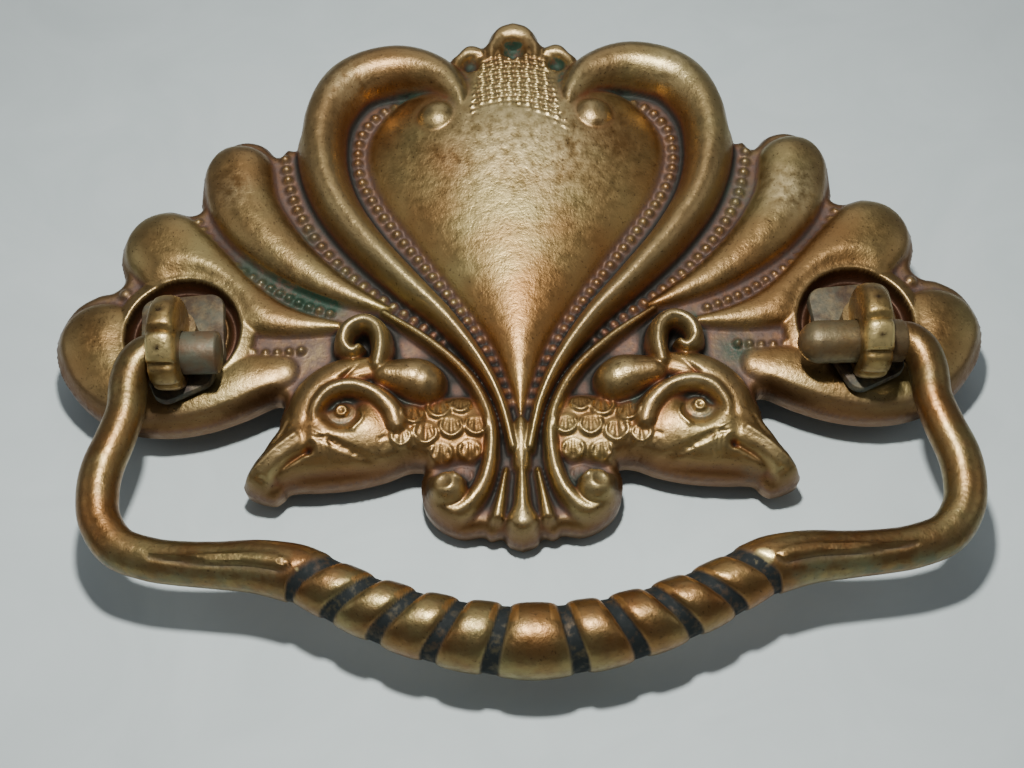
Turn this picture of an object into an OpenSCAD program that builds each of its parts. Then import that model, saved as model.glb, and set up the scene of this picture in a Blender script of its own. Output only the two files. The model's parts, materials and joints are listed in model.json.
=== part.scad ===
// Drawer bail pull: a stamped backplate, two drop-eye posts with washers
// and nuts, and a cast bail that swings in the eyes. Millimetres, +Z up.
// Origin: midway between the post axes on the back plane. The face looks
// toward -Y and the shanks run toward +Y through the drawer front.

/* [Output] */
// sub-part to draw

/* [Mounting] */
// distance between the post centres
post_spacing = 76.2; // [74:0.1:78]
// thickness of the drawer front that the shanks pass through
front_t = 19; // [14:0.5:22]
// radius of the plain part of each shank
shank_r = 2.4; // [2.2:0.05:2.5]

/* [Backplate] */
// depth of the turned-down rim
rim_h = 3; // [2.6:0.1:3.2]
// thickness of the stamped sheet
sheet_t = 0.9; // [0.7:0.1:1.1]
// crown of the heart field above the back plane
heart_h = 7.4; // [6.5:0.1:8]
// crown of the two large scrolls above the back plane
scroll_h = 7.6; // [7:0.1:8]
// radius of the dished seat round each post
dish_r = 6.2; // [6:0.1:6.5]

/* [Eye posts] */
// height of the swing axis above the back plane
eye_h = 8.6; // [8.5:0.1:8.8]
// drop of the swing axis below the shank axis
eye_drop = 5; // [4.8:0.1:5.2]
// outer radius of the eye ring
eye_r = 5.2; // [5:0.1:5.3]
// how far the ring's middle stands out from its bore
ring_lift = 0.7; // [0.6:0.1:0.8]
// how far the ring's middle stands above its bore
ring_rise = 0.9; // [0.7:0.1:1]
// width of the eye ring
eye_w = 3.2; // [2.8:0.1:3.4]
// side of the square flange
flange_w = 9.4; // [8.6:0.2:9.6]
// turn of the flange about the shank
flange_turn = 5; // [0:1:25]
// side of the square lug below the ring
lug_w = 7; // [6:0.2:7.2]
// turn of the lug about the shank
lug_turn = 25; // [15:1:35]

/* [Bail] */
// radius of the bail pins
pin_r = 2.35; // [2.2:0.05:2.4]
// radial clearance of the pins in the eyes
pin_gap = 0.07; // [0.05:0.01:0.1]
// radius of the bail arms
arm_r = 2.2; // [2.1:0.05:2.3]
// drop of the grip below the swing axis
bail_drop = 32.7; // [32:0.1:34]
// sideways rest position of the bail in the eyes
bail_shift = 0.9; // [0.8:0.1:1]
// radius of the middle bead of the grip
bead_r = 3.85; // [3.6:0.05:3.95]

/* [Hidden] */
$fn = 48;
BRASS = [0.62, 0.48, 0.24];
BROWN = [0.50, 0.34, 0.18];
GOLD = [0.68, 0.55, 0.28];
STEEL = [0.42, 0.41, 0.38];
post_x = post_spacing / 2;
dish_h = 2.9;           // front face of the dished seat
flange_t = 1.3;
lug_t = 1;
lug_h = 4.95;           // back face of the lug, clear of the plate
washer_t = 1.2;
nut_t = 3.4;
thread_r = shank_r - 0.25;
shank_end = front_t + washer_t + nut_t + 3;
left_pin_in = 33.6;     // cut end of the left pin, from the bail's middle
right_pin_in = 31.7;    // base of the right pin's rounded nose
pin_out = 41;           // outer end of both pins

// ---------- curves ----------

// Catmull-Rom value between b and c
function cr(a, b, c, d, t) =
    0.5 * (2 * b + (c - a) * t + (2 * a - 5 * b + 4 * c - d) * t * t
           + (3 * b - a - 3 * c + d) * t * t * t);

// open curve through points of any size, n steps between neighbours
function smooth(p, n) = [
    for (i = [0 : len(p) - 2]) for (k = [0 : n - 1])
        cr(p[max(i - 1, 0)], p[i], p[i + 1], p[min(i + 2, len(p) - 1)], k / n),
    p[len(p) - 1]];

function flat(v) = [v[0], v[1]];
function unit(v) = v / max(norm(v), 0.0001);
function left_of(v) = [-v[1], v[0]];
function heading(p, i) =
    unit(flat(p[min(i + 1, len(p) - 1)]) - flat(p[max(i - 1, 0)]));

// rounded end of a raised band: [x, z, half width, crown] stations
function nose(q, dir, edge) = [
    for (a = [50])
        [q[0] + dir[0] * q[2] * sin(a), q[1] + dir[1] * q[2] * sin(a),
         q[2] * cos(a), edge + (q[3] - edge) * cos(a)]];
function turned(p) = [for (i = [len(p) - 1 : -1 : 0]) p[i]];
function with_noses(p, edge) = concat(
    turned(nose(p[0], -heading(p, 0), edge)), p,
    nose(p[len(p) - 1], heading(p, len(p) - 1), edge));

// the part of a drawing left of the middle line, mirrored from the right
module both() { children(); mirror([1, 0, 0]) children(); }

// closed skin over equal rings of points
module skin(rings) {
    m = len(rings[0]);
    n = len(rings);
    polyhedron(
        points = [for (r = rings) for (p = r) p],
        faces = concat(
            [[for (k = [0 : m - 1]) k]],
            [for (i = [0 : n - 2]) for (k = [0 : m - 1])
                [i * m + (k + 1) % m, i * m + k, (i + 1) * m + k]],
            [for (i = [0 : n - 2]) for (k = [0 : m - 1])
                [(i + 1) * m + (k + 1) % m, i * m + (k + 1) % m,
                 (i + 1) * m + k]],
            [[for (k = [m - 1 : -1 : 0]) (n - 1) * m + k]]));
}

// raised band: stations [x, z, half width, crown], flat foot at base,
// edges at edge, arc of seg steps across
module band(p, n = 2, seg = 5, base = 1.5, edge = 3, ends = true) {
    s0 = smooth(p, n);
    s = ends ? with_noses(s0, edge) : s0;
    skin([for (i = [0 : len(s) - 1])
        let (q = flat(s[i]), t = left_of(heading(s, i)), w = s[i][2],
             c = s[i][3])
        concat(
            [[q[0] + t[0] * w, q[1] + t[1] * w, base]],
            [for (k = [0 : seg]) let (a = 180 * k / seg)
                [q[0] + t[0] * w * cos(a), q[1] + t[1] * w * cos(a),
                 edge + (c - edge) * sin(a)]],
            [[q[0] - t[0] * w, q[1] - t[1] * w, base]])]);
}

// ---------- backplate ----------

// right half of the outline, from the crest down to the finial
half_outline = [
    [0, 44.4], [2, 43.8], [3.2, 42.2], [3.6, 40.8], [5, 41], [6.6, 40.2],
    [7.8, 38.7], [10, 39.7], [13, 40.3], [17, 40.2], [20, 39.3], [22.8, 37.2],
    [24.8, 34], [26, 30], [26.5, 26.2], [27.9, 26], [29, 25], [31, 26.8],
    [33.5, 27.2], [36, 25.8], [37.7, 22.6], [37.9, 19], [37.8, 17.4],
    [39, 16.8], [41.5, 17.4], [44.2, 16.5], [46.2, 13.8], [46.7, 10.8],
    [46, 7.8], [47, 6.4], [48.8, 5.9], [51.2, 4.2], [52.7, 1], [52.7, -2],
    [51.2, -5.4], [48, -8.8], [44, -10.8], [39.5, -11.4], [35, -10.8],
    [31, -9.4], [27.6, -7.8], [26.4, -8.4], [26.8, -10.4], [26.9, -12.2],
    [28.2, -13.6], [29.4, -15.6], [29.8, -17.8], [28.8, -19.4], [26.9, -19.7],
    [25.3, -18.3], [22, -18.3], [18.5, -18], [15, -17.2], [12.4, -16.2],
    [10.6, -16.4], [11, -18.4], [10.5, -21], [9, -22.9], [6.7, -24],
    [4.4, -23.8], [3.4, -24.3], [2.2, -24.1], [1.4, -25], [0, -25.5]];

module outline(n = 2) {
    r = smooth(half_outline, n);
    polygon(concat(r, [for (i = [len(r) - 2 : -1 : 1]) [-r[i][0], r[i][1]]]));
}

// large scroll from the foot of the heart up and over to its ball
scroll_path = [
    [0.9, -15, 0.7, 5], [1.4, -9.5, 0.9, 5.4], [3.6, -4.6, 1.2, 6],
    [7.8, 0.8, 1.6, 6.4], [13, 5.8, 2, 6.8], [18, 11.6, 2.4, 7],
    [21.6, 17.4, 2.7, 7.2], [23.3, 23.4, 3, 7.4], [23, 29.4, 3.3, scroll_h],
    [20, 34.4, 3.6, scroll_h], [14.6, 36.3, 3.6, scroll_h],
    [9.6, 34.8, 3, scroll_h], [7, 31, 2.2, scroll_h]];
upper_lobe = [
    [33.4, 21.6, 4.3, 5.8], [32.3, 17, 4.1, 5.9], [29.6, 12.8, 3.6, 5.8],
    [26, 9.2, 2.9, 5.4], [22, 6.2, 2.1, 5], [18, 4, 1.3, 4.4],
    [15, 2.6, 0.7, 4]];
middle_lobe = [
    [41.3, 11.6, 4.9, 5.6], [37.6, 7.6, 4.9, 5.6], [33, 4.2, 3.7, 5.2],
    [28.5, 2, 2.5, 4.8], [24.5, 1, 1.6, 4.4], [20.6, 0.6, 0.8, 4]];
lower_lobe = [
    [47.4, -0.6, 5, 5], [44.8, -3.8, 5.6, 4.8], [40, -5.8, 5.2, 4.4],
    [35, -6.2, 4.2, 4.5], [30.6, -5.6, 3.2, 4.5], [26.8, -4.8, 2.1, 4.2]];
side_rib = [
    [15.4, 2, 0.6, 4.6], [10.4, -1.6, 0.8, 5], [6, -6, 0.9, 5.2],
    [3.6, -11, 0.9, 5.4], [3.3, -15.6, 1, 5.2], [4.4, -19.6, 1.3, 5],
    [7, -21.9, 1.7, 4.8], [9.2, -20.4, 1.3, 4.6], [9, -18.6, 0.9, 4.6]];
head_top = [
    [16.6, -3.4, 2, 6.2], [20.6, -5.4, 2.6, 6.6], [23.8, -8.4, 2.6, 6.4],
    [25, -12, 2, 6]];
crest_feather = [[17.2, -2.6, 1.2, 6.6], [14.4, -5.4, 2.4, 7],
                 [11.4, -6.4, 2.8, 6.6]];
crest_curl = [
    [16.2, -3, 1.3, 6.8], [14.8, -0.4, 1.4, 6.9], [15.8, 1.6, 1.4, 6.8],
    [18, 1.6, 1.4, 6.6], [19.4, -0.2, 1.2, 6.4]];
brow = [[21.6, -12.6, 1.1, 7.6], [21.8, -10.4, 1, 7.6], [19.4, -8.8, 1, 7.7],
        [16.6, -9, 1, 7.6], [14.9, -11.4, 1.2, 7.2]];
heart = [
    [0, -10.5, 0.5, 4.6], [0, -7, 1.6, 5], [0, -2, 3.9, 5.8],
    [0, 3, 7.2, 6.6], [0, 8, 10.8, 7.1], [0, 13, 14.2, heart_h],
    [0, 18, 16.9, heart_h], [0, 23, 18.2, heart_h], [0, 27, 17.4, 7],
    [0, 31, 13, 6.2], [0, 34.5, 6, 5.4], [0, 38, 4.5, 5]];
crest_arch = [[2.5, 38.6, 1, 4.8], [2.2, 41, 1.3, 5], [1.2, 42.3, 1.5, 5.2],
              [0, 42.7, 1.5, 5.3]];
crest_side = [[7, 37.2, 0.9, 4.8], [6.6, 38.9, 1.1, 5],
              [5.3, 39.7, 1.1, 5], [4.2, 39, 0.9, 4.8]];

// sturdy features that are hollow behind: the solid, or its hollow when t
// is the sheet's thickness
module big_relief(t) {
    foot = t > 0 ? -1 : 1.2;
    function thinned(p) = [for (q = p) if (q[2] > 2 * t)
        [q[0], q[1], q[2] - t, q[3] - t]];
    both() {
        band(thinned(scroll_path), n = t > 0 ? 1 : 2, seg = t > 0 ? 4 : 7,
             base = foot);
        for (p = [upper_lobe, middle_lobe, lower_lobe])
            band(thinned(p), n = t > 0 ? 1 : 2, seg = t > 0 ? 4 : 6,
                 base = foot);
    }
    band(thinned(heart), n = t > 0 ? 1 : 2, seg = t > 0 ? 6 : 10,
         base = foot, ends = false);
}

// head of the bird that looks outward and down from each side
module bird() {
    hull() {
        translate([20, -12, 2]) scale([1.05, 0.87, 0.72])
            sphere(6.8, $fn = 12);
        translate([11, -12.2, 2]) sphere(3.4, $fn = 10);
    }
    hull() {
        translate([23.6, -13.6, 3]) sphere(2.9, $fn = 10);
        translate([27.2, -16.4, 2.6]) sphere(1.9, $fn = 8);
    }
    hull() {
        translate([27.4, -16.2, 2.6]) sphere(1.8, $fn = 8);
        translate([27.4, -18.2, 2.4]) sphere(1.2, $fn = 8);
    }
    hull() {
        translate([7, -11, 1.5]) cylinder(r = 4, h = 3, $fn = 12);
        translate([11, -12, 1.5]) cylinder(r = 5, h = 3.2, $fn = 12);
    }
    band(head_top);
    band(crest_feather);
    band(crest_curl, seg = 4);
    band(brow, seg = 4, edge = 5);
    translate([18.7, -1.6, 5]) sphere(1.5, $fn = 10);
    translate([19, -11.6, 6.2]) sphere(1.6, $fn = 12);
}

module fine_relief() {
    both() {
        bird();
        band(side_rib, seg = 4);
        band(crest_side, seg = 4);
        translate([8.7, 28.2, 5.2]) sphere(3.1, $fn = 12);
        translate([7.7, -19.4, 3.6]) sphere(1.9, $fn = 10);
        band([[2.6, -17.4, 0.5, 4.4], [2.9, -21, 0.7, 4.4],
              [2.8, -23.2, 0.8, 4]], seg = 4);
    }
    band(concat(crest_arch, [for (i = [2 : -1 : 0])
        [-crest_arch[i][0], crest_arch[i][1], crest_arch[i][2],
         crest_arch[i][3]]]), seg = 4);
    band([[0, -14, 0.4, 4.6], [0, -18.4, 0.7, 4.8], [0, -21.2, 1.3, 4.8]], seg = 4);
    translate([0, -23.2, 2.8]) sphere(2.2, $fn = 12);
}

// dished seat and its raised lip round each post
module seat_lip() {
    translate([0, 0, 1.2]) cylinder(r = dish_r + 0.5, h = 3.1, $fn = 24);
}

module plate_solid() {
    linear_extrude(height = rim_h) outline();
    big_relief(0);
    fine_relief();
    both() translate([post_x, 0, 0]) seat_lip();
}

module plate_hollow() {
    difference() {
        union() {
            translate([0, 0, -1]) linear_extrude(height = 1 + rim_h - sheet_t)
                offset(delta = -1.1) outline(1);
            big_relief(sheet_t);
            both() hull() {
                translate([20, -12, 1]) sphere(4.6, $fn = 10);
                translate([11, -12.2, 1]) sphere(2.2, $fn = 8);
            }
        }
        both() translate([post_x, 0, dish_h - sheet_t])
            cylinder(r = dish_r + 0.6, h = 9, $fn = 16);
    }
}

module plate_shell() {
    difference() {
        plate_solid();
        plate_hollow();
        translate([-60, -40, -20]) cube([120, 100, 20]);
        both() translate([post_x, 0, dish_h])
            cylinder(r = dish_r, h = 9, $fn = 24);
    }
}

module backplate() {
    color(BRASS) difference() {
        rotate([90, 0, 0]) union() plate_shell();
        for (s = [-1, 1]) translate([s * post_x, 1, 0]) rotate([90, 0, 0])
            cylinder(r = 2.9, h = 5);
    }
}

// ---------- eye posts ----------

// square plate with rounded corners, its back face on the plane y = 0
module square_plate(w, turn, t) {
    r = 1.6;
    rotate([90, 0, 0]) linear_extrude(height = t) rotate(turn) {
        square([w, w - 2 * r], center = true);
        square([w - 2 * r, w], center = true);
        for (x = [-1, 1], y = [-1, 1])
            translate([x * (w / 2 - r), y * (w / 2 - r)]) circle(r);
    }
}

// disc with bevelled edges and three cast notches across its rim
module eye_ring() {
    w = eye_w / 2;
    translate([0, -eye_h - ring_lift, -eye_drop + ring_rise])
        rotate([0, 90, 0]) difference() {
            rotate_extrude() polygon([
                [0, -w], [eye_r - 0.7, -w], [eye_r, -w + 0.8],
                [eye_r, w - 0.8], [eye_r - 0.7, w], [0, w]]);
            for (a = [-80, -34, 5]) rotate(a) translate([eye_r + 0.1, 0, 0])
                cylinder(r = 0.45, h = eye_w + 1, center = true);
        }
}

// eye, flange, lug and stepped shank in one casting
module eye_post() {
    difference() {
        union() {
            eye_ring();
            translate([0, -dish_h, 0])
                square_plate(flange_w, flange_turn, flange_t);
            translate([0.2, -lug_h, -eye_drop - 0.3])
                square_plate(lug_w, lug_turn, lug_t);
            translate([0, -dish_h, -1.4]) rotate([90, 0, 0])
                cylinder(r = 2.3, h = eye_h - dish_h - 1);
        }
        translate([0, -eye_h, -eye_drop]) rotate([0, 90, 0])
            cylinder(r = pin_r + pin_gap, h = 20, center = true);
    }
    translate([0, -0.6, 0]) rotate([90, 0, 0]) cylinder(r = 2.8, h = dish_h);
    translate([0, front_t, 0]) rotate([90, 0, 0])
        cylinder(r = shank_r, h = front_t + 1);
    translate([0, shank_end, 0]) rotate([90, 0, 0])
        cylinder(r = thread_r, h = shank_end - front_t + 1);
}

module left_eye_post() { color(GOLD) translate([-post_x, 0, 0]) eye_post(); }
module right_eye_post() { color(GOLD) translate([post_x, 0, 0]) eye_post(); }

// ---------- washers and nuts ----------

module washer() {
    translate([0, front_t + washer_t, 0]) rotate([90, 0, 0]) difference() {
        cylinder(r = 5.5, h = washer_t);
        translate([0, 0, -1]) cylinder(r = thread_r + 0.02, h = washer_t + 2);
    }
}

module square_nut() {
    translate([0, front_t + washer_t, 0]) rotate([-90, 0, 0]) difference() {
        intersection() {
            translate([0, 0, nut_t / 2]) cube([8, 8, nut_t], center = true);
            cylinder(r1 = 5.8, r2 = 5.8 - nut_t * 0.35, h = nut_t);
        }
        translate([0, 0, -1]) cylinder(r = thread_r + 0.02, h = nut_t + 2);
    }
}

module left_washer() { color(STEEL) translate([-post_x, 0, 0]) washer(); }
module right_washer() { color(STEEL) translate([post_x, 0, 0]) washer(); }
module left_nut() { color(STEEL) translate([-post_x, 0, 0]) square_nut(); }
module right_nut() { color(STEEL) translate([post_x, 0, 0]) square_nut(); }

// ---------- bail ----------

// right half of the bail's centre line: [x, z, radius], from elbow to middle
arm_path = [
    [39.8, 0, 0.9], [41.4, 0, 0.93], [42.6, -1.3, 0.95], [43.1, -3.6, 0.94],
    [43.1, -6.8, 0.92], [43.8, -10, 0.96], [44.8, -13.4, 1], [45, -16.4, 1],
    [44.4, -19.4, 0.98], [42.3, -22.2, 0.99], [39, -23.5, 1.01],
    [36, -24, 1.03], [32, -24.3, 1.1], [28, -24.5, 1.24], [24.4, -25.2, 1.36],
    [22.4, -25.9, 1.35]];
grip_end = 22.4;        // half length of the beaded grip
grip_rise = 6.8;        // rise of the grip from its middle to its ends
grip_beads = [20.2, 16.2, 11.6, 6.4, 0];

function grip_z(x) = -bail_drop + grip_rise * pow(abs(x) / grip_end, 1.9);
function grip_r(x) = bead_r - (bead_r - 2.9) * pow(abs(x) / grip_end, 1.2);
// depth of the grooves between beads, by distance to the nearest bead
function ripple(x) = let (
    a = abs(x),
    d = min([for (b = grip_beads) abs(a - b)]),
    g = a > 18 ? 2 : a > 14 ? 2.1 : a > 9 ? 2.4 : 2.9)
    0.16 * grip_r(x) * pow(min(d / g, 1), 2.2);

half_bail = concat(
    [for (q = smooth(arm_path, 2)) [q[0], q[1], q[2] * arm_r]],
    [for (x = [21.6 : -0.8 : 0.7]) [x, grip_z(x), grip_r(x) - ripple(x)]],
    [[0, grip_z(0), grip_r(0)]]);
bail_line = concat(half_bail, [for (i = [len(half_bail) - 2 : -1 : 0])
    [-half_bail[i][0], half_bail[i][1], half_bail[i][2]]]);

module rod(p, m) {
    skin([for (i = [0 : len(p) - 1])
        let (t = left_of(heading(p, i)), r = p[i][2])
        [for (k = [0 : m - 1]) let (a = 360 * k / m)
            [p[i][0] + t[0] * r * cos(a), p[i][1] + t[1] * r * cos(a),
             r * sin(a)]]]);
}

module bail_handle() {
    color(BROWN) translate([bail_shift, -eye_h, -eye_drop]) {
        rotate([90, 0, 0]) rod(bail_line, 16);
        translate([-pin_out, 0, 0]) rotate([0, 90, 0])
            cylinder(r = pin_r, h = pin_out - left_pin_in);
        translate([right_pin_in, 0, 0]) rotate([0, 90, 0])
            cylinder(r = pin_r, h = pin_out - right_pin_in);
        translate([right_pin_in, 0, 0]) sphere(pin_r);
    }
}

backplate();
bail_handle();
left_eye_post();
right_eye_post();
left_washer();
right_washer();
left_nut();
right_nut();
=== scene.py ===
"""Drawer bail pull: aged stamped-brass backplate, cast bail, eye posts.

Lengths are in millimetres and become metres where an object is made. X is to
the right, Z is up, and the face of the plate looks along -Y.
"""
import json
import math

import bmesh
import bpy
import numpy as np
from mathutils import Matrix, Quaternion, Vector


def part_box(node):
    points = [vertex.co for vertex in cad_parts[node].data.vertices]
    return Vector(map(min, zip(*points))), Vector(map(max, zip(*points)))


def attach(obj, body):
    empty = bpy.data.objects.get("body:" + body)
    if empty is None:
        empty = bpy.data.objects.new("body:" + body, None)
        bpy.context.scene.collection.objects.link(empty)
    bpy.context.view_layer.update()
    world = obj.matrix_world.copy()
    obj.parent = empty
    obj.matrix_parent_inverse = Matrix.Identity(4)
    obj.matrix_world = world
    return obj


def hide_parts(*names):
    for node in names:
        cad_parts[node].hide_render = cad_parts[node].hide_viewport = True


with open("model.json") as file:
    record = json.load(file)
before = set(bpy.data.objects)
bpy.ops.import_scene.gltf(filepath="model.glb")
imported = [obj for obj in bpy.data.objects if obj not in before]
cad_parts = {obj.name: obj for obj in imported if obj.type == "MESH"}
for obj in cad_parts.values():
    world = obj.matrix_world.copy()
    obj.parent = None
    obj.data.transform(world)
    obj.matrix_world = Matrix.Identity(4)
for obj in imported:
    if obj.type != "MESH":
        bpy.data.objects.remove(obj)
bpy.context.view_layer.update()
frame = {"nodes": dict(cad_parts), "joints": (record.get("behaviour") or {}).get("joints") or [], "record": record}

MM = 0.001
RECORD = frame["record"]
POST_X = RECORD["mounts"][0]["dims"]["spacing_x_mm"] / 2
SWING = [v / MM for v in frame["joints"][0]["pos_m"]]
EYE_H = -SWING[1]
EYE_DROP = -SWING[2]
BAIL_LOW, BAIL_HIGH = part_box("bail_handle")
BAIL_SHIFT = (BAIL_LOW[0] + BAIL_HIGH[0]) / 2 / MM

# ---------------------------------------------------------------- curves


def smooth(stations, steps):
    """Catmull-Rom curve through stations of any width."""
    p = np.asarray(stations, float)
    n = len(p)
    rows = []
    for i in range(n - 1):
        a, b = p[max(i - 1, 0)], p[i]
        c, d = p[i + 1], p[min(i + 2, n - 1)]
        for k in range(steps):
            t = k / steps
            rows.append(0.5 * (2 * b + (c - a) * t
                               + (2 * a - 5 * b + 4 * c - d) * t * t
                               + (3 * b - a - 3 * c + d) * t ** 3))
    rows.append(p[-1])
    return np.array(rows)


def blur(field, sigma):
    """Gaussian blur of a grid, sigma in cells."""
    reach = int(3 * sigma) + 1
    k = np.exp(-0.5 * (np.arange(-reach, reach + 1) / sigma) ** 2)
    k /= k.sum()
    for axis in (0, 1):
        pad = [(reach, reach) if a == axis else (0, 0) for a in (0, 1)]
        f = np.pad(field, pad, mode="edge")
        field = sum(w * np.take(f, range(i, i + field.shape[axis]), axis=axis)
                    for i, w in enumerate(k))
    return field


def lowest(field, reach):
    """Smallest value within reach cells, along both axes."""
    for axis in (0, 1):
        pad = [(reach, reach) if a == axis else (0, 0) for a in (0, 1)]
        f = np.pad(field, pad, mode="edge")
        rows = [np.take(f, range(i, i + field.shape[axis]), axis=axis)
                for i in range(2 * reach + 1)]
        field = np.min(rows, axis=0)
    return field


# ------------------------------------------------- the backplate's relief

# spacing of the height grid, and its reach just past the outline
CELL = 0.16
HALF_W, LOW_Z, HIGH_Z = 53.44, -26.4, 45.28
# heights above the plate's back plane: ground between the bands, rim
BASE_H = 3.2
RIM_LOW = 1.6
# width of the turned-down edge, and the sheet's thickness
RIM_ROLL = 1.3
SHEET_T = 0.9
# sunk seat round each post: radius, floor height, flat middle, raised ring
DISH_R = 6.2
DISH_H = 2.9
DISH_FLAT_R = 4.2
DISH_RING_R = 4.9
# lip round the seat, and the highest the face may be just outside it
LIP_H = 4.6
CEILING_H = 4.8
CEILING_BLEND = 3.0
# segments between two stations of a raised band and of a fine line
BAND_STEPS = 8
LINE_STEPS = 6
# how far from the outline its distance is exact
OUTLINE_REACH = 5
# blur of the finished height grid, in cells
SOFTEN = 0.8

# right half of the plate's outline, from the crest down to the foot: (x, z)
HALF_OUTLINE = [
    (0, 44), (2, 43.4), (3.2, 41.9), (3.7, 40.6), (5, 41), (6.6, 40.2),
    (7.8, 38.7), (10, 39.7), (13, 40.3), (17, 40.2), (20, 39.3), (22.8, 37.2),
    (24.8, 34), (26, 30), (26.5, 26.2), (27.9, 26), (29, 25), (31, 26.8),
    (33.5, 27.2), (36, 25.8), (37.7, 22.6), (37.9, 19), (37.8, 17.4),
    (39, 16.8), (41.5, 17.4), (44.2, 16.5), (46.2, 13.8), (46.7, 10.8),
    (46, 7.8), (47, 6.4), (48.8, 5.9), (51.2, 4.2), (52.7, 1), (52.7, -2),
    (51.2, -5.4), (48, -8.8), (44, -10.8), (39.5, -11.4), (35, -10.8),
    (31, -9.4), (27.6, -7.8), (26.4, -8.4), (26.8, -10.4), (26.9, -12.2),
    (28, -13.8), (29.4, -16), (30.3, -18.2), (29.3, -19.2), (27.2, -19.8),
    (26.2, -19.3), (25.2, -18.4), (22, -18.3), (18.5, -18), (15, -17.2), (12.4, -16.2),
    (10.6, -16.4), (11, -18.4), (10.5, -21), (9, -22.9), (6.7, -24),
    (4.4, -23.8), (3.4, -24.3), (2.2, -24.1), (1.4, -25), (0, -25.5)]

# raised bands: (x, z, half width, crown height) along each feature
SCROLL = [
    (0.9, -15, 0.7, 5), (2.2, -9.5, 0.8, 5.4), (4.5, -4.6, 1.1, 6),
    (8.3, 0.8, 1.5, 6.4), (13, 5.8, 2, 6.8), (18, 11.6, 2.4, 7),
    (21.6, 17.4, 2.7, 7.2), (23.3, 23.4, 3, 7.4), (23, 29.4, 3.3, 7.6),
    (20, 34.4, 3.6, 7.6), (14.6, 36.3, 3.6, 7.6), (9.8, 34.9, 3.1, 7.6),
    (7.1, 31.6, 2.3, 7.4), (6.5, 28.4, 1.6, 7), (7.5, 25.6, 1.2, 6.6),
    (9.4, 24.8, 0.8, 6.2)]
UPPER_LOBE = [
    (33.4, 21.6, 4.3, 5.8), (32.3, 17, 4.1, 5.9), (29.6, 12.8, 3.6, 5.8),
    (26, 9.2, 2.9, 5.4), (22, 6.2, 2.1, 5), (18, 4, 1.3, 4.6),
    (15, 2.6, 0.7, 4.2)]
MIDDLE_LOBE = [
    (41.3, 11.6, 4.9, 5.6), (37.6, 7.6, 4.9, 5.6), (33, 4.2, 3.7, 5.2),
    (28.5, 2, 2.5, 4.8), (24.5, 1, 1.6, 4.5), (20.6, 0.6, 0.8, 4.2)]
LOWER_LOBE = [
    (47.4, -0.6, 5, 5), (44.8, -3.8, 5.6, 4.8), (40, -5.8, 5.2, 4.4),
    (35, -6.2, 4.2, 4.5), (30.6, -5.6, 3.2, 4.5), (26.8, -4.8, 2.1, 4.2)]
SIDE_RIB = [
    (15.4, 2, 0.6, 4.7), (10.4, -1.6, 0.8, 5), (6, -6, 0.9, 5.2),
    (3.6, -11, 0.95, 5.4), (3.3, -15.6, 1, 5.3), (4.4, -19.6, 1.2, 5.2),
    (6.8, -22, 1.4, 5), (9, -21.2, 1.3, 4.8), (9.4, -18.8, 0.9, 4.8)]
# the heart: (z, half width, crown height)
HEART = [
    (-11, 0.3, 4), (-7, 1.5, 4.6), (-2, 3.4, 5.2), (3, 6.4, 5.7), (8, 9.7, 6.2),
    (13, 13.2, 6.7), (18, 16.3, 7.2), (23, 17.9, 7.7), (27, 17.5, 7.8),
    (31, 15, 7), (34, 11, 6), (37, 8, 5.3), (40, 6.6, 4.6)]


def band_ratio(x, z, stations, steps):
    """Distance to the band's spine over its half width, with its crown."""
    s = smooth(stations, steps)
    best = np.full(x.shape, 9.0)
    crown = np.zeros(x.shape)
    for a, b in zip(s[:-1], s[1:]):
        reach = max(a[2], b[2]) + 0.5
        near = ((x > min(a[0], b[0]) - reach) & (x < max(a[0], b[0]) + reach)
                & (z > min(a[1], b[1]) - reach)
                & (z < max(a[1], b[1]) + reach))
        if not near.any():
            continue
        px, pz = x[near], z[near]
        vx, vz = b[0] - a[0], b[1] - a[1]
        t = ((px - a[0]) * vx + (pz - a[1]) * vz) / max(vx * vx + vz * vz, 1e-9)
        t = np.clip(t, 0, 1)
        dist = np.hypot(px - a[0] - t * vx, pz - a[1] - t * vz)
        ratio = dist / (a[2] + t * (b[2] - a[2]))
        better = ratio < best[near]
        idx = np.flatnonzero(near)[better]
        best.flat[idx] = ratio[better]
        crown.flat[idx] = (a[3] + t * (b[3] - a[3]))[better]
    return best, crown


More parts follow.
